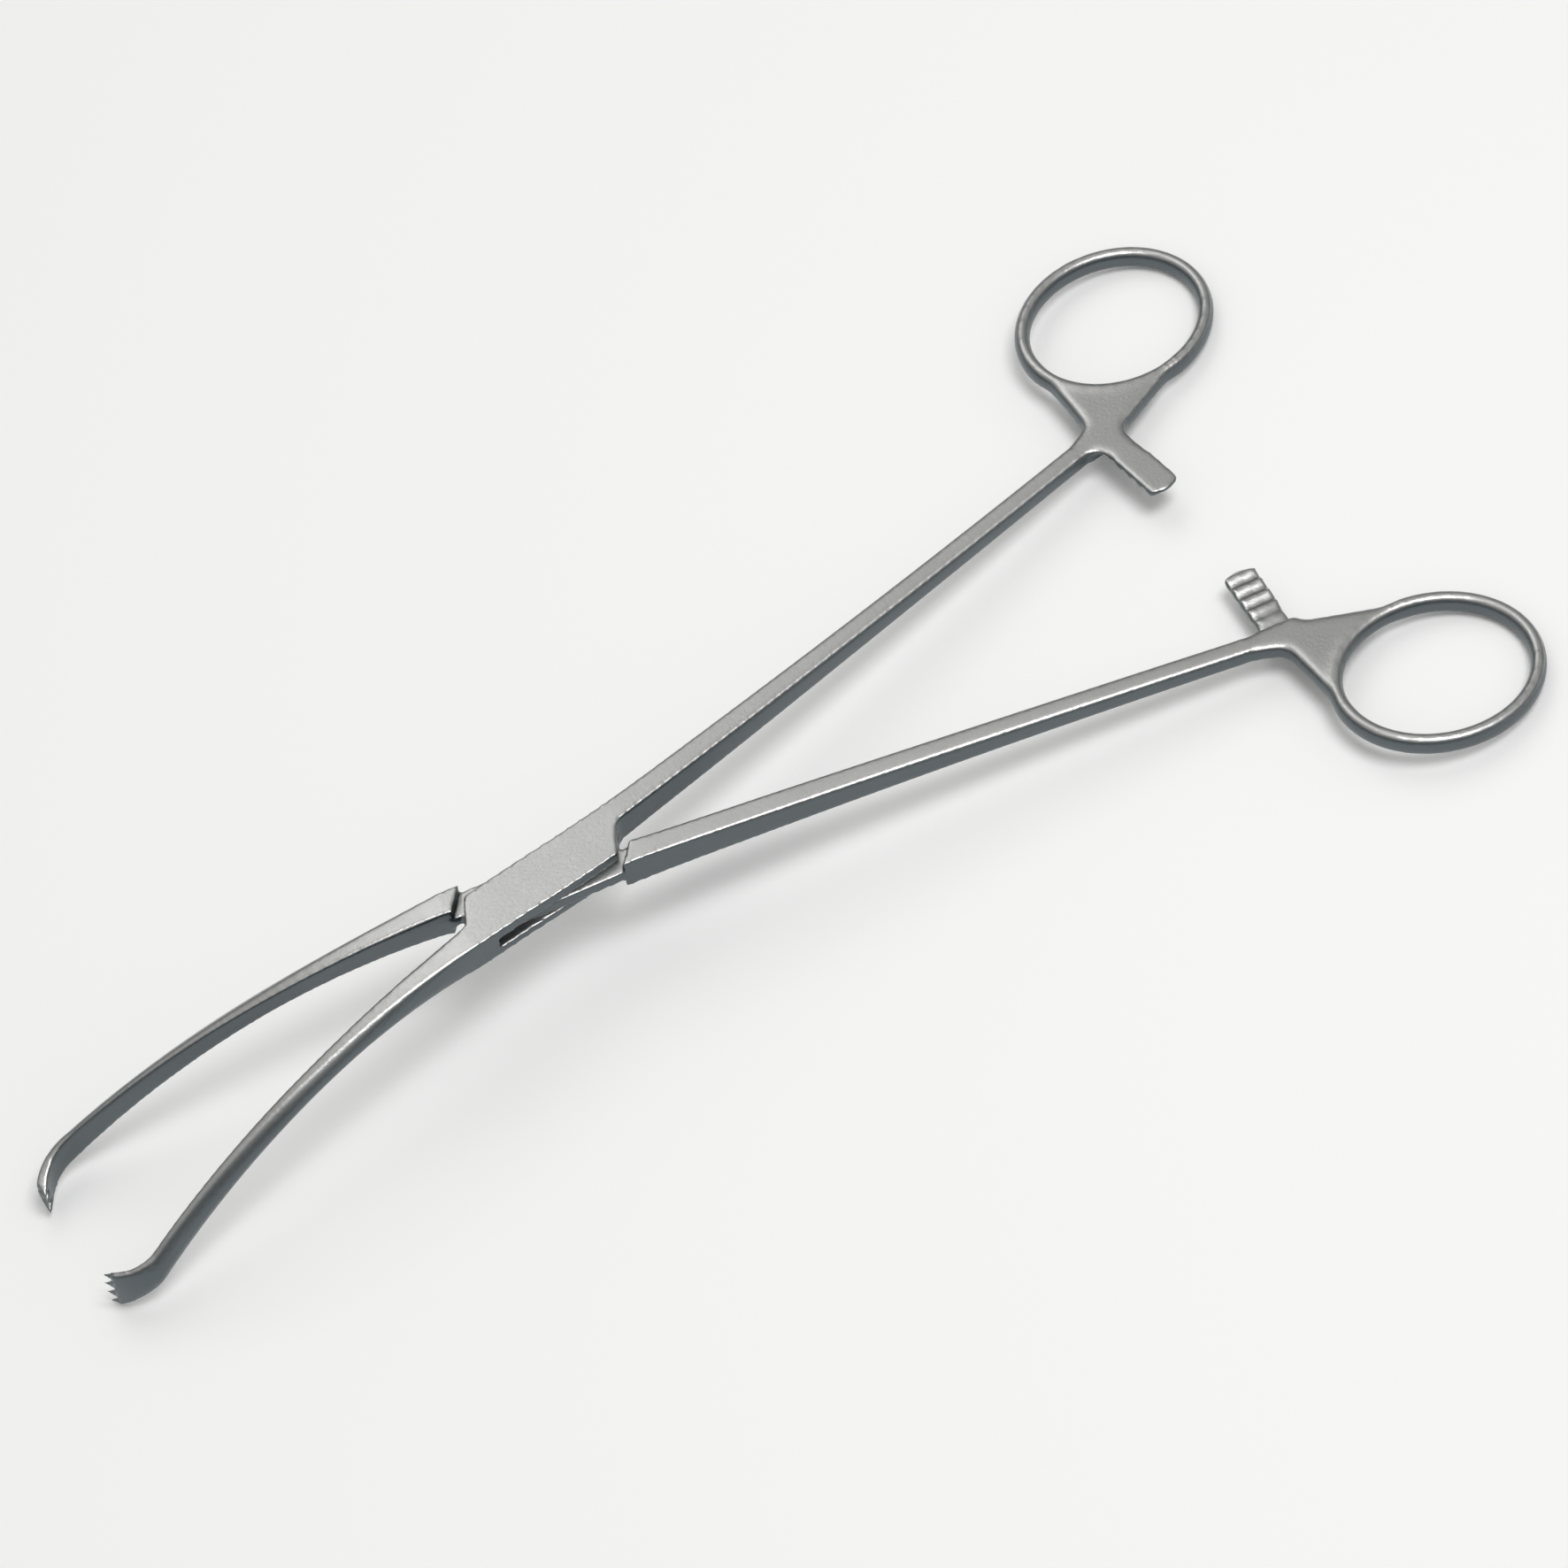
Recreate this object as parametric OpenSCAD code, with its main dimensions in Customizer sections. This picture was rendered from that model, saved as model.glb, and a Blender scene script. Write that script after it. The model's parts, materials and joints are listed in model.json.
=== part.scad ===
// Curved vulsellum forceps with a box lock, finger rings and a ratchet.
// Two forged arms cross at the lock: the tongue of one passes through the
// slot of the other, and a pin ground flush with the cheeks joins them.
// Each arm is drawn in the pose where the jaws are closed, with the pin on
// the Z axis, the jaw along +X and the handle along -X. The two arms then
// swing apart, and the whole is tilted so that it rests on its four ends.

/* [Arms] */
// Length of the handle from the pin to the centre of the finger ring
handle_len = 135.1; // [120:0.1:150]
// Length of the jaw from the pin to the tips of the hook
jaw_len = 83.7; // [74:0.1:88]
// Angle between the arms as they lie, counted from the closed pose
rest_opening = 12; // [4:1:16]

/* [Lock] */
// Thickness of the lock across both cheeks
lock_t = 5.4; // [5:0.1:6]
// Width of the lock at the pin
lock_w = 9; // [8.4:0.1:9.6]
// Half length of the lock, from the pin to the inner end of a cheek
lock_half_len = 14.1; // [13.6:0.1:15]
// Height of the slot between the cheeks
slot_h = 2.1; // [1.8:0.1:2.4]
// How far the slot lies below the middle of the lock
slot_drop = 0.25; // [0:0.05:0.4]
// Diameter of the pin
pin_d = 2.6; // [2.2:0.1:3]
// Radial clearance of the pin in the tongue
pin_clear = 0.03; // [0.02:0.01:0.06]
// Clearance over and under the tongue in the slot
tongue_clear = 0.06; // [0.04:0.01:0.1]
// Gap between the cheek ends and the shoulders of the tongue
shoulder_gap = 0.5; // [0.4:0.05:0.7]

/* [Shank] */
// Width of the shank beside the lock
shank_w = 3.9; // [3.6:0.1:4.2]
// Width of the shank at the neck
neck_w = 3.3; // [3:0.1:3.6]
// Thickness of the neck and the ratchet
neck_t = 3; // [2.6:0.1:3.4]

/* [Finger ring] */
// Length of the ring's centre line
ring_len = 31.3; // [28:0.1:34]
// Width of the ring's centre line
ring_w = 26.7; // [24:0.1:29]
// Distance of the ring's centre from the midline of the closed forceps
ring_off = 29.7; // [28:0.1:31]
// Radial thickness of the ring's section
ring_section_w = 2.5; // [2.2:0.1:2.8]
// Height of the ring's section
ring_section_h = 3.6; // [3.2:0.1:4.2]

/* [Ratchet] */
// Width of the ratchet bar along the shank
ratchet_w = 5.4; // [5:0.1:6.2]
// Distance from one ratchet tooth to the next
ratchet_pitch = 2.45; // [2.2:0.05:2.6]
// Height of a ratchet tooth
ratchet_tooth = 0.6; // [0.4:0.1:0.8]
// How far the bar passes the midline of the closed forceps
ratchet_lap = 3.2; // [2.6:0.1:3.6]

/* [Jaw] */
// Radius of the curve that the jaw follows away from the lock
jaw_radius = 106; // [95:1:125]
// How far the jaw of the box arm stands off the midline at its hook
box_spread = 4; // [3.6:0.1:4.6]
// How far the jaw of the tongue arm stands off the midline at its hook
tongue_spread = 5.6; // [5:0.1:6]
// Thickness of the jaw near the hook
jaw_t = 2.2; // [2:0.1:2.6]
// Height of the jaw at its waist
jaw_waist_h = 3.7; // [3.4:0.1:4.4]
// Distance from one hook tooth to the next
claw_pitch = 2.3; // [2.1:0.05:2.4]
// Length of a hook tooth
claw_tooth = 2.2; // [1.8:0.1:2.6]

/* [Hidden] */

steel = "silver";

// Lock outline: the cheek ends run aslant from the inner to the outer corner
lock_side = lock_w / 2;
lock_shoulder = lock_side - 0.1;
lock_end_x = lock_half_len - 3.1;
lock_inner_y = 0.15;
lock_tail = lock_half_len + 1.3;
tongue_t = slot_h - 2 * tongue_clear;

// Shank centre line, width and thickness at a distance s from its root
root_x = lock_half_len - 2;
shank_root_y = lock_inner_y + shank_w / 2 + 0.3;
neck_x = handle_len - ring_len / 2 - 2;
neck_rise = 10.15;
shank_run = neck_x - root_x;
shank_slope = 0.078;
shank_bow = (neck_rise - shank_slope * shank_run) / pow(shank_run, 2);
function shank_y(s) = shank_root_y + shank_slope * s + shank_bow * s * s;
function shank_width(s) = shank_w + (neck_w - shank_w) * s / shank_run;
shank_lead = lock_tail - root_x + 0.5;
function shank_t(s) = neck_t
    + (lock_t - neck_t) * pow(1 - max(0, s - shank_lead) / (shank_run - shank_lead), 1.6);
function shank_in(x) = shank_y(x - root_x) - shank_width(x - root_x) / 2;
function shank_out(x) = shank_y(x - root_x) + shank_width(x - root_x) / 2;

// Jaw: an arc that drops away from the lock, and spreads off the midline
jaw_start = lock_half_len - 0.4;
function jaw_drop(x) = x < jaw_start ? 0
    : jaw_radius - sqrt(pow(jaw_radius, 2) - pow(x - jaw_start, 2));
jaw_root_t = 4.1;
jaw_ridge_t = 0.95;
jaw_end_h = 5.9;
waist_at = 0.45;
function jaw_y(u, spread) = -lock_inner_y - (spread - lock_inner_y) * u;
function ridge_t(u) = jaw_ridge_t + (jaw_root_t - jaw_ridge_t) * pow(1 - u, 2.6);
function belly_t(u) = jaw_t + (jaw_root_t - jaw_t) * pow(1 - u, 1.5);
function jaw_h(u) = u < waist_at
    ? jaw_waist_h + (lock_t - jaw_waist_h) * pow(1 - u / waist_at, 2)
    : jaw_waist_h + (jaw_end_h - jaw_waist_h) * pow((u - waist_at) / (1 - waist_at), 1.3);

// Hook: an arc in plan that carries the teeth inward to the midline
claw_pass = 0.3;
claw_slope = 0.55;
claw_steps = 9;
box_turn = 66;
tongue_turn = 86;
box_tip_t = 1.1;
tongue_tip_t = 1.8;
function claw_radius(spread, turn) = (spread + claw_pass) / (1 - cos(turn));
function claw_start(spread, turn) = jaw_len - claw_radius(spread, turn) * sin(turn);
claw_edge = 0.45;
function claw_root(radius, turn) = turn - claw_tooth / radius * 180 / PI;
function claw_point(spread, radius, start, h, out, rise) =
    [start + (radius + out) * sin(h), -spread + radius - (radius + out) * cos(h),
        rise - jaw_drop(start) - claw_slope * radius * sin(h)];
function claw_h(teeth) = (teeth - 1) * claw_pitch + 2 * claw_edge;

// Ratchet bar in plan, beside the neck on the side of the lock
bar_x = neck_x - 1.5;
bar_root_y = shank_y(shank_run) - 2.4;
ratchet_gap = 0.2;

// Pose at rest: half the opening on each side, and the tilt on the four ends
half_open = rest_opening / 2;
ring_a = ring_len / 2;
ring_b = ring_w / 2;
ring_dir = 4;
ring_reach = handle_len * cos(half_open) - ring_off * sin(half_open)
    + sqrt(pow(ring_a * cos(ring_dir + half_open), 2) + pow(ring_b * sin(ring_dir + half_open), 2));
box_claw_start = claw_start(box_spread, box_turn);
claw_low = jaw_drop(box_claw_start) + claw_slope * (jaw_len - box_claw_start) + claw_h(4) / 2;
claw_reach = (jaw_len + box_tip_t / 2) * cos(half_open);
rest_tilt = atan((claw_low - ring_section_h / 2) / (claw_reach + ring_reach));
ring_foot = sqrt(pow(ring_section_h / 2 * cos(rest_tilt), 2) + pow(ring_section_w / 2 * sin(rest_tilt), 2));
rest_height = ring_reach * sin(rest_tilt) + ring_foot;
ring_end = ring_reach * cos(rest_tilt)
    + sqrt(pow(ring_section_w / 2 * cos(rest_tilt), 2) + pow(ring_section_h / 2 * sin(rest_tilt), 2));
claw_end = claw_reach * cos(rest_tilt) + claw_low * sin(rest_tilt);
rest_shift = (ring_end - claw_end) / 2;

// A skin through rings of points that all have the same count
function skin_faces(rings, count, closed) = [
    for (i = [0 : rings - (closed ? 1 : 2)]) for (j = [0 : count - 1])
        for (half = [0, 1])
            let (a = i * count + j, b = i * count + (j + 1) % count,
                c = ((i + 1) % rings) * count + (j + 1) % count, d = ((i + 1) % rings) * count + j)
            half == 0 ? [a, b, c] : [a, c, d]
];
module skin(rings, closed = false) {
    count = len(rings[0]);
    n = len(rings);
    first = [for (j = [count - 1 : -1 : 0]) j];
    last = [for (j = [0 : count - 1]) (n - 1) * count + j];
    caps = closed ? [] : [first, last];
    polyhedron([for (r = rings) each r], concat(skin_faces(n, count, closed), caps), convexity = 6);
}

// Rounded section: a flat-topped oval of half sizes a and b
function oval(a, b, power, count) = [
    for (j = [0 : count - 1]) let (t = 360 * j / count, c = cos(t), s = sin(t))
        [a * sign(c) * pow(abs(c), 2 / power), b * sign(s) * pow(abs(s), 2 / power)]
];

// Jaw section: flat towards the other jaw, with a ridge on top and a fuller,
// rounded belly on the outside that turns under at the bottom
function jaw_section(ridge, belly, height, under = 1) = [
    [0, -height / 2 + 0.15], [0, height / 2 - 0.15], [0.2, height / 2], [ridge - 0.2, height / 2],
    for (v = [0.06, 0.15, 0.27, 0.4, 0.55])
        [ridge + (belly - ridge) * sin(90 * v / 0.55), height * (0.5 - v)],
    [belly * (1 - 0.03 * under), -height * 0.2], [belly * (1 - 0.14 * under), -height * 0.38],
    [belly * (1 - 0.34 * under) - 0.01, -height / 2], [0.2, -height / 2]
];

// Shank from the lock to the neck
module shank() {
    steps = 26;
    skin([for (i = [0 : steps]) let (s = shank_run * i / steps)
        [for (p = oval(shank_width(s) / 2, shank_t(s) / 2, 5 + 28 * pow(1 - i / steps, 5), 28))
            [-root_x - s, shank_y(s) + p[0], p[1]]]]);
}

// Jaw from the lock to the hook, with the hook turned inward at its end
module jaw(teeth, spread, turn, tip_t) {
    steps = 22;
    radius = claw_radius(spread, turn);
    start = claw_start(spread, turn);
    straight = [for (i = [0 : steps]) let (u = i / steps, x = root_x + (start - root_x) * u,
        w = max(0, x - lock_tail) / (start - lock_tail))
        [for (p = jaw_section(ridge_t(w), belly_t(w), jaw_h(w), min(1, 3 * w)))
            [x, jaw_y(u, spread) - p[0], p[1] - jaw_drop(x)]]];
    bend = [for (i = [1 : claw_steps]) let (v = i / claw_steps, h = claw_root(radius, turn) * v,
        ridge = jaw_ridge_t + (tip_t - 0.1 - jaw_ridge_t) * v, belly = jaw_t + (tip_t - jaw_t) * v)
        [for (p = jaw_section(ridge, belly, jaw_end_h + (claw_h(teeth) - jaw_end_h) * v))
            claw_point(spread, radius, start, h, p[0], p[1])]];
    skin([for (r = concat(straight, bend)) [for (j = [len(r) - 1 : -1 : 0]) r[j]]]);
}

// Pointed teeth side by side on the end of the hook
module claws(teeth, spread, turn, tip_t) {
    radius = claw_radius(spread, turn);
    start = claw_start(spread, turn);
    root = claw_root(radius, turn) - 3;
    reach = claw_h(teeth) / 2 - 0.02;
    for (k = [0 : teeth - 1]) {
        rise = (k - (teeth - 1) / 2) * claw_pitch;
        low = max(rise - claw_pitch / 2 + 0.02, -reach);
        high = min(rise + claw_pitch / 2 - 0.02, reach);
        base = [for (c = [[0.04, low], [tip_t - 0.15, low], [tip_t - 0.15, high], [0.04, high]])
            claw_point(spread, radius, start, root, c[0], c[1])];
        tip = claw_point(spread, radius, start, turn, tip_t * 0.35, rise);
        polyhedron(concat(base, [tip]), [[3, 2, 1, 0], [4, 0, 1], [4, 1, 2], [4, 2, 3], [4, 3, 0]]);
    }
}

// The ring's place in the closed forceps
module at_ring() {
    translate([-handle_len, ring_off, 0]) rotate([0, 0, -ring_dir]) children();
}

// A point of the ring's section, standing off the centre line by out
function ring_normal(t) = let (n = [cos(t) / ring_a, sin(t) / ring_b]) n / norm(n);
function ring_point(t, out, rise) =
    [ring_a * cos(t) + ring_normal(t)[0] * out, ring_b * sin(t) + ring_normal(t)[1] * out, rise];

// Finger ring: an oval loop with a rounded section
module finger_ring() {
    steps = 72;
    section = oval(ring_section_w / 2, ring_section_h / 2, 2.3, 16);
    at_ring() skin([for (i = [0 : steps - 1]) [for (p = section) ring_point(360 * i / steps, p[0], p[1])]],
        closed = true);
}

// Outline of an oval whose edge lies out from the ring's centre line
module ring_outline(out) {
    polygon([for (i = [0 : 95]) let (p = ring_point(360 * i / 96, out, 0)) [p[0], p[1]]]);
}

// Ratchet bar in plan, with a rounded end
module bar_plan() {
    end_r = ratchet_w * 0.72;
    bar_top = shank_y(shank_run);
    intersection() {
        translate([-bar_x - ratchet_w, -ratchet_lap - 1]) square([ratchet_w, bar_top + ratchet_lap + 1]);
        union() {
            translate([-bar_x - ratchet_w / 2, end_r - ratchet_lap]) circle(r = end_r, $fn = 96);
            translate([-bar_x - ratchet_w, end_r - ratchet_lap]) square([ratchet_w, bar_top]);
        }
    }
}

// Web in plan: the waist of the neck spreads out and is faired into the ring
module web_plan(waist) {
    fairing = 9;
    waist_d = 5.8;
    offset(r = -fairing, $fn = 64) offset(delta = fairing) {
        hull() {
            translate(waist) circle(d = waist_d, $fn = 48);
            at_ring() ring_outline(0);
        }
        at_ring() ring_outline(ring_section_w / 2 - 0.3);
    }
}

// Handle end in plan: shank, ratchet bar and web meet in filleted corners
module handle_plan() {
    fillet = 2.6;
    lead = 6;
    top = shank_y(shank_run);
    lead_y = shank_y(shank_run - lead);
    lead_half = neck_w / 2 - 0.2;
    waist = [-neck_x - 2.6, top + 1.4];
    offset(r = -fillet, $fn = 64) offset(delta = fillet) {
        polygon([[-neck_x + lead, lead_y - lead_half], [-neck_x + lead, lead_y + lead_half],
            [waist[0] + 1.9, waist[1] + 1.7], waist, [-bar_x - ratchet_w + 1, top], [-bar_x, top - 2]]);
        bar_plan();
        web_plan(waist);
    }
}

// Flat neck that joins the shank, the root of the ratchet bar and the ring
module neck() {
    linear_extrude(neck_t, center = true) difference() {
        handle_plan();
        at_ring() ring_outline(-ring_section_w / 4);
        translate([-2 * handle_len, bar_root_y - handle_len]) square([2 * handle_len, handle_len]);
    }
}

// Profile of the ratchet teeth across the bar
module ratchet_profile() {
    half = neck_t / 2;
    count = floor((bar_root_y + ratchet_lap) / ratchet_pitch);
    low = -ratchet_gap / 2 - ratchet_tooth;
    first = -ratchet_lap + 0.4;
    polygon(concat(
        [[bar_root_y + 1, -half - 1], [-ratchet_lap - 2, -half - 1], [-ratchet_lap - 2, low]],
        [for (k = [0 : count - 1]) let (y = first + k * ratchet_pitch)
            each [[y, low], [y + ratchet_pitch * 0.3, -ratchet_gap / 2],
                [y + ratchet_pitch * 0.38, -ratchet_gap / 2]]],
        [[first + count * ratchet_pitch, low], [bar_root_y + 1, low]]));
}

// Toothed bar, half as thick as the neck: teeth on top of the lower half
module ratchet() {
    intersection() {
        translate([0, 0, -neck_t / 2]) linear_extrude(neck_t / 2) handle_plan();
        translate([-bar_x - 2 * ratchet_w, 0, 0]) rotate([90, 0, 90])
            linear_extrude(3 * ratchet_w) ratchet_profile();
    }
}

// Outline of the lock: swelling sides, aslant ends, and a tail on each side
// that runs out into the shank and the jaw
module lock_plan() {
    jaw_tail_y = jaw_y((lock_tail - root_x) / (jaw_len - root_x), box_spread);
    sides = [[-lock_end_x / 2, lock_side - 0.1], [0, lock_side], [lock_end_x / 2, lock_side],
        [lock_end_x, lock_shoulder]];
    polygon(concat(
        [[-lock_half_len, lock_inner_y], [-lock_tail, shank_in(lock_tail)]],
        [[-lock_tail, shank_out(lock_tail)], [-lock_half_len, shank_out(lock_half_len)]],
        sides,
        [[lock_half_len, -lock_inner_y], [lock_tail, jaw_tail_y], [lock_tail, jaw_tail_y - jaw_root_t]],
        [for (p = sides) -p]));
}

// Slot: all of the lock but the two columns that join the cheeks
module slot_plan() {
    far = 40;
    column = [[-lock_half_len + 0.6, lock_inner_y], [-lock_end_x + 0.3, lock_side + 0.4],
        [-lock_end_x + 0.3, far]];
    half = concat([[-far, lock_inner_y]], column);
    polygon(concat(half, [[far, far], [far, -lock_inner_y]], [for (p = column) -p], [[-far, -far]]));
}

// Tongue: the waist that fills the slot, clear of the columns of the box
module tongue_plan() {
    tail = lock_half_len + 3;
    side = [[-tail, lock_inner_y + 0.8], [-tail, shank_out(root_x) - 0.3],
        [-lock_end_x - shoulder_gap, lock_side - 0.15], [-lock_end_x + 1, lock_side - 0.15],
        [lock_end_x - 0.8, lock_side - 0.2], [lock_half_len - 1.1, -lock_inner_y],
        [lock_half_len + shoulder_gap, 0]];
    polygon(concat(side, [for (p = side) -p]));
}

// Shoulders: the part of the lock outline beyond the cheek ends, on the
// outer side of the shank's and the jaw's inner faces
module shoulder_plan() {
    far = 40;
    slope = (lock_half_len - lock_end_x) / lock_shoulder;
    end_x = lock_half_len + shoulder_gap;
    shank_side = shank_in(lock_half_len);
    difference() {
        lock_plan();
        polygon([[-far, shank_side], [slope * shank_side - end_x, shank_side], [slope * far - end_x, far],
            [far, far], [far, -lock_inner_y], [end_x - slope * lock_inner_y, -lock_inner_y],
            [end_x - slope * far, -far], [-far, -far]]);
    }
}

module arm_body(teeth, spread, turn, tip_t) {
    shank();
    jaw(teeth, spread, turn, tip_t);
    claws(teeth, spread, turn, tip_t);
    neck();
    finger_ring();
}

// The arm with the slotted lock, drawn with its handle on the +Y side
module box_arm_closed() {
    difference() {
        union() {
            arm_body(4, box_spread, box_turn, box_tip_t);
            linear_extrude(lock_t, center = true) lock_plan();
            mirror([0, 0, 1]) ratchet();
        }
        translate([0, 0, -slot_drop]) linear_extrude(slot_h, center = true) intersection() {
            slot_plan();
            square([2 * lock_half_len + 9, 60], center = true);
        }
        cylinder(h = lock_t + 2, d = pin_d, center = true, $fn = 64);
    }
}

// The arm with the tongue, drawn with its handle on the +Y side
module tongue_arm_closed() {
    difference() {
        union() {
            difference() {
                arm_body(3, tongue_spread, tongue_turn, tongue_tip_t);
                linear_extrude(lock_t + 2, center = true)
                    square([2 * (lock_half_len + shoulder_gap), 2 * lock_w], center = true);
            }
            linear_extrude(lock_t, center = true) shoulder_plan();
            translate([0, 0, -slot_drop]) linear_extrude(tongue_t, center = true) tongue_plan();
            ratchet();
        }
        cylinder(h = lock_t + 2, r = pin_d / 2 + pin_clear, center = true, $fn = 64);
    }
}

// Rest pose of everything that turns on the pin
module at_rest() {
    translate([rest_shift, 0, rest_height]) rotate([0, -rest_tilt, 0]) children();
}

module box_arm() {
    color(steel) at_rest() rotate([0, 0, half_open]) mirror([0, 1, 0]) box_arm_closed();
}

module tongue_arm() {
    color(steel) at_rest() rotate([0, 0, -half_open]) tongue_arm_closed();
}

module hinge_pin() {
    color(steel) at_rest() cylinder(h = lock_t, d = pin_d, center = true, $fn = 64);
}

box_arm();
tongue_arm();
hinge_pin();
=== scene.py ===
# %% [markdown]
# # Curved vulsellum forceps on a pale table
# The forceps are three pieces of stainless steel: two forged arms and the pin
# that joins them in the box lock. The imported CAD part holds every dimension.
# This lesson keeps its size and place, and gives the arms what a forging gets
# in the finishing shop: rolled edges, faired roots and a bead-blasted skin.

# %% Load the part as a fixed frame
import json
import math

import bmesh
import bpy
from mathutils import Matrix, Vector


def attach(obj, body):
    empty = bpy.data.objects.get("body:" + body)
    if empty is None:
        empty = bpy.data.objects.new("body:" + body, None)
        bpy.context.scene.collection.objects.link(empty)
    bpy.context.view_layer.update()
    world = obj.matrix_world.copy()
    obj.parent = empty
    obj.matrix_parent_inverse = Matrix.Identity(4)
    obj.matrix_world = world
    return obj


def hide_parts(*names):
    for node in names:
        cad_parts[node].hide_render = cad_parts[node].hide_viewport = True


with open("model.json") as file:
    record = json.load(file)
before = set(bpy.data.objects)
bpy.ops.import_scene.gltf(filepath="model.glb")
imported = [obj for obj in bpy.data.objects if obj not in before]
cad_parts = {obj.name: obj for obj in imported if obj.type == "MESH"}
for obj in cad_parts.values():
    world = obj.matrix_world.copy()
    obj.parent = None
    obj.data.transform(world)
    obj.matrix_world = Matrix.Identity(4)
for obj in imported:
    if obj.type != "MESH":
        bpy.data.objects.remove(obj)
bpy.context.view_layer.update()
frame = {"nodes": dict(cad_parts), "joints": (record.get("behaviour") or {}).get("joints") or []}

# %% [markdown]
# Blender works in metres and the drawing is in millimetres, so one helper
# turns millimetres into metres. Colours are picked as sRGB hex values, and one
# function turns them into the linear values that shaders and lamps take.

# %% Units and colours
def mm(*values):
    scaled = tuple(value / 1000 for value in values)
    return scaled[0] if len(scaled) == 1 else scaled


def linear(hex_colour):
    channels = [int(hex_colour[i:i + 2], 16) / 255 for i in (1, 3, 5)]
    bent = [c / 12.92 if c <= 0.04045 else ((c + 0.055) / 1.055) ** 2.4 for c in channels]
    return (*bent, 1.0)


# %% [markdown]
# The camera looks down at the forceps from the side of the tongue arm, a
# little towards the hooks, with a long lens and a slight roll that puts the
# rings at the top right. A long lens keeps the two arms in their true
# proportions, as in a catalogue picture.

# %% Camera
CAMERA_AT = Vector(mm(145.8, 490.6, 721.5))
CAMERA_AIM = Vector(mm(-12.0, -5.1, 0.0))
CAMERA_ROLL = math.radians(-17.78)
LENS_LENGTH = 133.5
SENSOR_WIDTH = 36
NEAREST_SEEN = 0.01


def facing(place, target):
    turn = (target - place).to_track_quat("-Z", "Y").to_matrix().to_4x4()
    return Matrix.Translation(place) @ turn


camera_data = bpy.data.cameras.new("camera")
camera_data.lens = LENS_LENGTH
camera_data.sensor_width = SENSOR_WIDTH
camera_data.clip_start = NEAREST_SEEN
camera = bpy.data.objects.new("camera", camera_data)
bpy.context.collection.objects.link(camera)
camera.matrix_world = facing(CAMERA_AT, CAMERA_AIM) @ Matrix.Rotation(CAMERA_ROLL, 4, "Z")
bpy.context.scene.camera = camera
print("camera at", [round(1000 * c) for c in CAMERA_AT], "mm, lens", camera_data.lens, "mm")

# %% [markdown]
# The lock's plane is tilted, because the forceps lie on the rings and on the
# lower hook. The joint in the record gives the place of the pin and its
# direction, so every step that needs the plane of the lock reads them there.

# %% The plane of the lock
joint = frame["joints"][0]
pin_at = Vector(joint["pos_m"])
lock_normal = -Vector(joint["axis"]).normalized()
to_jaws = Vector((1, 0, 0))
to_jaws = (to_jaws - to_jaws.dot(lock_normal) * lock_normal).normalized()
print("lock tilted by", round(math.degrees(lock_normal.angle(Vector((0, 0, 1)))), 1), "degrees")

# %% [markdown]
# A forged arm has no sharp edge outside the lock: its edges are rolled over by
# grinding and barrel polishing, and its roots are faired into each other. The
# CAD solid has the right form with plain edges. A copy of it is merged and
# skinned with small even quads by a voxel remesh, which keeps every hole and
# flat. A Bevel modifier was the other choice, but it breaks up where many
# small CAD faces meet at an edge. All lengths here are in millimetres.

# %% Copy and skin a CAD solid
MERGE_GAP = 0.001
SKIN_QUAD = 0.25


def merged_copy(nodes):
    bm = bmesh.new()
    for node in nodes:
        bm.from_mesh(frame["nodes"][node].data)
    bmesh.ops.remove_doubles(bm, verts=bm.verts, dist=mm(MERGE_GAP))
    return bm


def as_piece(name, bm):
    mesh = bpy.data.meshes.new(name)
    bm.to_mesh(mesh)
    bm.free()
    piece = bpy.data.objects.new(name, mesh)
    bpy.context.collection.objects.link(piece)
    return piece


def skin(piece):
    remesh = piece.modifiers.new("skin", "REMESH")
    remesh.mode = "VOXEL"
    remesh.voxel_size = mm(SKIN_QUAD)
    graph = bpy.context.evaluated_depsgraph_get()
    skinned = bpy.data.meshes.new_from_object(piece.evaluated_get(graph))
    piece.modifiers.clear()
    piece.data = skinned


# %% [markdown]
# Smoothing the vertices of the skin rolls the edges by about the width of a
# few quads. Inside the lock, and at the teeth, few passes keep the edges
# crisp. Away from the lock the roll grows in steps, so that no step shows, and
# the fan that carries each finger ring gets the softest edges of all.

# %% Roll the edges
LOCK_REACH = 14.9
TEETH_START = 80.5
FAN_CENTRES = [Vector(mm(-90, side, 5)) for side in (-30, 30)]

FIRST_PASSES = 2
ROLL_CLEARANCES = (0, 1.5, 3.5, 6)
PASSES_PER_ROLL = 2
FAN_REACHES = (13, 12, 11)
PASSES_PER_FAN = 12


def along(co):
    return 1000 * (co - pin_at).dot(to_jaws)


def outside_lock(co, clearance):
    return abs(along(co)) > LOCK_REACH + clearance and along(co) < TEETH_START


def near_ring_fan(co, reach):
    return min((co - centre).length for centre in FAN_CENTRES) < mm(reach)


def smooth(bm, passes, chosen):
    verts = [v for v in bm.verts if chosen(v.co)]
    for _ in range(passes):
        bmesh.ops.smooth_vert(bm, verts=verts, factor=0.5,
                              use_axis_x=True, use_axis_y=True, use_axis_z=True)


def roll_edges(bm):
    smooth(bm, FIRST_PASSES, lambda co: True)
    for clearance in ROLL_CLEARANCES:
        smooth(bm, PASSES_PER_ROLL, lambda co: outside_lock(co, clearance))
    for reach in FAN_REACHES:
        smooth(bm, PASSES_PER_FAN, lambda co: near_ring_fan(co, reach))


# %% [markdown]
# The box arm carries the pin, which is pressed in and ground flush with both
# cheeks until its ends can't be told from them. One skin around the arm and
# the pin shows it that way. The tongue arm gets a skin of its own.

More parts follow.
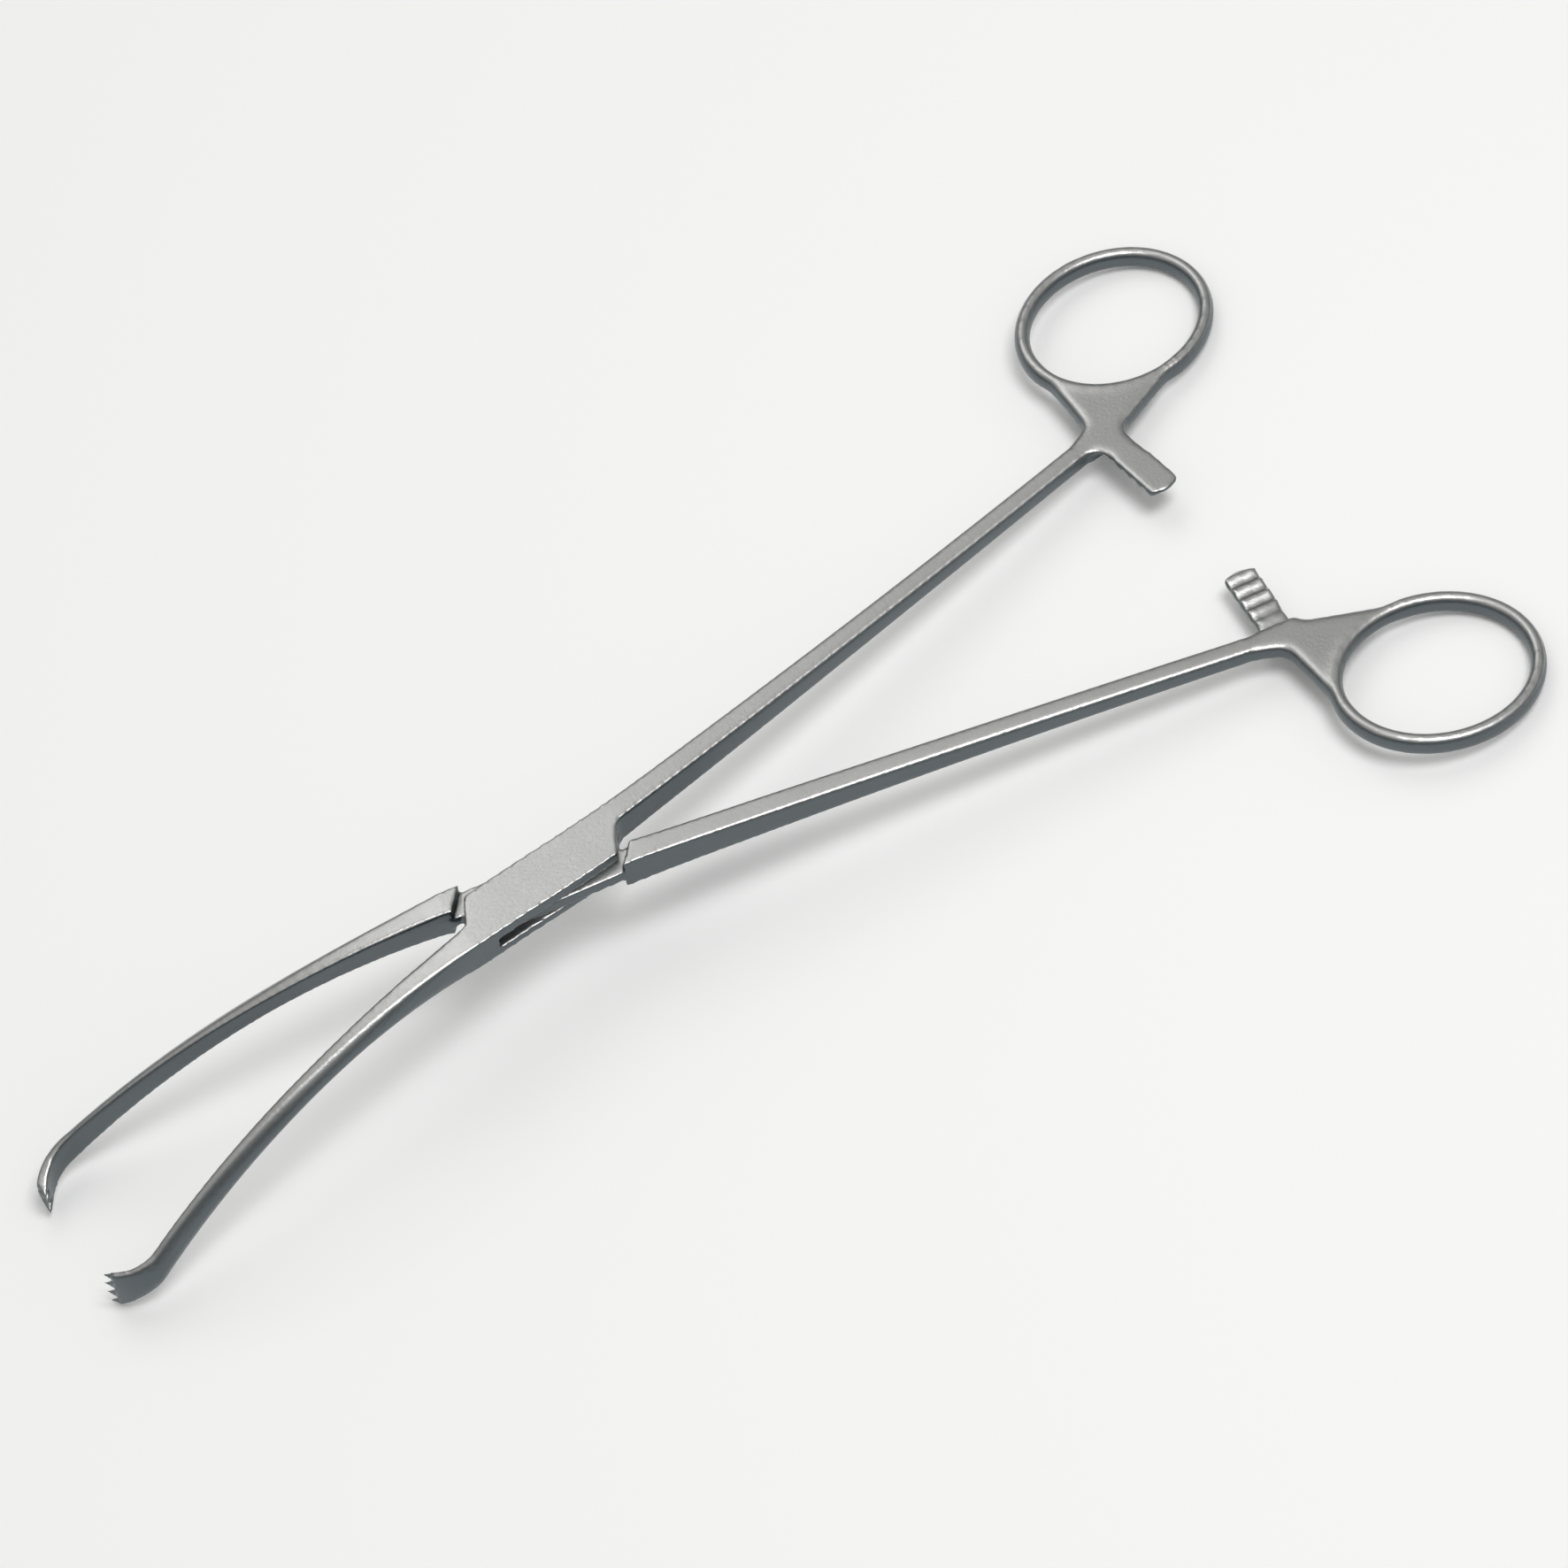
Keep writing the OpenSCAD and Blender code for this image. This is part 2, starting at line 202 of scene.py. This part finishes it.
# %% The two arms
def forged_arm(name, nodes):
    arm = as_piece(name, merged_copy(nodes))
    skin(arm)
    bm = bmesh.new()
    bm.from_mesh(arm.data)
    roll_edges(bm)
    for face in bm.faces:
        face.smooth = True
    bm.to_mesh(arm.data)
    bm.free()
    print(name, "has", len(arm.data.polygons), "quads")
    return arm


box_arm = forged_arm("box_arm_forging", ["box_arm", "hinge_pin"])
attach(box_arm, "box_arm")
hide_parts("box_arm", "hinge_pin")

tongue_arm = forged_arm("tongue_arm_forging", ["tongue_arm"])
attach(tongue_arm, "tongue_arm")
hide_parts("tongue_arm")

# %% [markdown]
# Every material below is a small tree of shader nodes. One function adds a
# node with its settings, and links each input that is given as a socket.

# %% Add a shader node
def add(tree, kind, inputs=None, **settings):
    node = tree.nodes.new(kind)
    for setting, value in settings.items():
        setattr(node, setting, value)
    for socket, value in (inputs or {}).items():
        if isinstance(value, bpy.types.NodeSocket):
            tree.links.new(value, node.inputs[socket])
        else:
            node.inputs[socket].default_value = value
    return node


def mixed(tree, share, first_hex, second_hex):
    FIRST, SECOND, RESULT = 6, 7, 2
    colours = {"Factor": share, FIRST: linear(first_hex), SECOND: linear(second_hex)}
    return add(tree, "ShaderNodeMix", colours, data_type="RGBA").outputs[RESULT]


# %% [markdown]
# The steel is martensitic stainless, blasted with glass beads to a satin that
# doesn't dazzle under a theatre lamp. The base colour carries painted shade:
# the sides and edges are given a dark colour, standing in for the dark room
# they mirror, and the flats a paler, lit one. The normal tells the two apart,
# on both faces of the forceps.
# Wide faint clouds, a centimetre or so across, are left by the hand that holds
# the blasting nozzle.

# %% Tone of the steel
CLOUD_SIZE = 14
CLOUD_TONES = (0.88, 1.1)
SIDE_FACING, FLAT_FACING = 0.35, 0.9


def steel_tone(tree, place, lit_flat_hex, painted_shade_side_hex):
    normal = add(tree, "ShaderNodeNewGeometry").outputs["Normal"]
    upright = add(tree, "ShaderNodeVectorMath", {0: normal, 1: tuple(lock_normal)},
                  operation="DOT_PRODUCT").outputs["Value"]
    flatness = add(tree, "ShaderNodeMath", {0: upright}, operation="ABSOLUTE").outputs["Value"]
    # Share of the pale lit flat colour; where it is low, the sides and edges get the dark colour
    # as painted shade.
    lit_flat_share = add(tree, "ShaderNodeMapRange",
                 {"Value": flatness, "From Min": SIDE_FACING, "From Max": FLAT_FACING},
                 interpolation_type="SMOOTHSTEP").outputs["Result"]
    clouds = add(tree, "ShaderNodeTexNoise", {"Vector": place, "Scale": 1 / mm(CLOUD_SIZE),
                                              "Detail": 3.0, "Roughness": 0.55}).outputs["Fac"]
    tint = add(tree, "ShaderNodeMapRange", {"Value": clouds, "To Min": CLOUD_TONES[0],
                                            "To Max": CLOUD_TONES[1]}).outputs["Result"]
    # Painted shade: the dark colour on sides and edges and the pale lit colour on the flats are
    # mixed by the normal.
    return add(tree, "ShaderNodeVectorMath",
               {0: mixed(tree, lit_flat_share, painted_shade_side_hex, lit_flat_hex), "Scale": tint},
               operation="SCALE").outputs["Vector"]


# %% [markdown]
# Beads leave overlapping dents of a few hundredths of a millimetre. Those are
# too fine to show, so the grain is drawn at half a millimetre. It gives the
# satin a slight sparkle, as bump and as small changes of roughness.

# %% Satin stainless steel
GRAIN_SIZE = 0.5
DENT_DEPTH = 0.05
DENT_STRENGTH = 0.8
SATIN_ROUGHNESS = (0.28, 0.38)


def blasted_stainless(name, lit_flat_hex, painted_shade_side_hex):
    steel = bpy.data.materials.new(name)
    steel.use_nodes = True
    tree = steel.node_tree
    shader = tree.nodes["Principled BSDF"]
    place = add(tree, "ShaderNodeTexCoord").outputs["Object"]
    grain = add(tree, "ShaderNodeTexNoise", {"Vector": place, "Scale": 1 / mm(GRAIN_SIZE),
                                             "Detail": 4.0, "Roughness": 0.7}).outputs["Fac"]
    rough = add(tree, "ShaderNodeMapRange",
                {"Value": grain, "From Min": 0.3, "From Max": 0.7,
                 "To Min": SATIN_ROUGHNESS[0], "To Max": SATIN_ROUGHNESS[1]})
    dents = add(tree, "ShaderNodeBump", {"Height": grain, "Strength": DENT_STRENGTH,
                                         "Distance": mm(DENT_DEPTH)})
    tone = steel_tone(tree, place, lit_flat_hex, painted_shade_side_hex)
    tree.links.new(tone, shader.inputs["Base Color"])
    tree.links.new(rough.outputs["Result"], shader.inputs["Roughness"])
    tree.links.new(dents.outputs["Normal"], shader.inputs["Normal"])
    shader.inputs["Metallic"].default_value = 1.0
    return steel


# 656C6F is painted shade for the sides and edges; #B6B6B5 is the paler lit colour of the flats.
arm_steel = blasted_stainless("bead_blasted_stainless", "#B6B6B5", "#656C6F")
for mesh in (box_arm.data, tongue_arm.data, frame["nodes"]["hinge_pin"].data):
    mesh.materials.clear()
    mesh.materials.append(arm_steel)
print("steel on", box_arm.name, "and", tongue_arm.name)

# %% [markdown]
# The forceps lie on a plain pale table, like a sweep of matt card. It is far
# wider than the view, so that no edge shows from any side.

# %% Table
TABLE_HALF_WIDTH = 4.0
CARD_ROUGHNESS = 0.9

bm = bmesh.new()
bmesh.ops.create_grid(bm, x_segments=1, y_segments=1, size=TABLE_HALF_WIDTH)
table = as_piece("table", bm)
card = bpy.data.materials.new("matt_white_card")
card.use_nodes = True
card_shader = card.node_tree.nodes["Principled BSDF"]
card_shader.inputs["Base Color"].default_value = linear("#FCFCFC")
card_shader.inputs["Roughness"].default_value = CARD_ROUGHNESS
table.data.materials.append(card)
print("table is", 2 * TABLE_HALF_WIDTH, "m wide")

# %% [markdown]
# Two soft boxes light the forceps. The one behind them is placed where the
# camera sees it mirrored in the flat of the lock and the jaws, so that the
# flats are bright there and fall off towards the rings. The stronger one in
# front lights the table and draws a soft shadow. Sizes and places are in
# metres, and power is in watts.

# %% Soft boxes
def soft_box(name, at, aim, size, power):
    lamp = bpy.data.lights.new(name, "AREA")
    lamp.shape = "RECTANGLE"
    lamp.size, lamp.size_y = size
    lamp.energy = power
    box = bpy.data.objects.new(name, lamp)
    bpy.context.collection.objects.link(box)
    box.matrix_world = facing(Vector(at), Vector(aim))


soft_box("overhead_soft_box", at=(-0.14, -0.6, 0.9), aim=(0.03, 0, 0), size=(0.5, 0.7), power=1.35)
soft_box("front_soft_box", at=(-0.25, 0.35, 1.2), aim=(0, 0, 0), size=(0.5, 0.5), power=7.0)

# %% [markdown]
# Steel shows what is around it. The world is a dim neutral room with a pale
# ceiling and darker walls, so that the sides of the arms have something dark
# to show and the form reads. The height in the room is the Z of the direction.

# %% Room
WALL_HEX, CEILING_HEX = "#7C8689", "#F2F1EE"
WALL_TOP, CEILING_EDGE = 0.1, 0.9
ROOM_STRENGTH = 0.65

world = bpy.data.worlds.new("room")
bpy.context.scene.world = world
world.use_nodes = True
room = world.node_tree
direction = add(room, "ShaderNodeTexCoord").outputs["Generated"]
height = add(room, "ShaderNodeSeparateXYZ", {"Vector": direction}).outputs["Z"]
ceiling = add(room, "ShaderNodeMapRange",
              {"Value": height, "From Min": WALL_TOP, "From Max": CEILING_EDGE},
              interpolation_type="SMOOTHSTEP").outputs["Result"]
background = room.nodes["Background"]
room.links.new(mixed(room, ceiling, WALL_HEX, CEILING_HEX), background.inputs["Color"])
background.inputs["Strength"].default_value = ROOM_STRENGTH
bpy.context.scene.view_settings.view_transform = "Standard"
print("room light at strength", ROOM_STRENGTH)
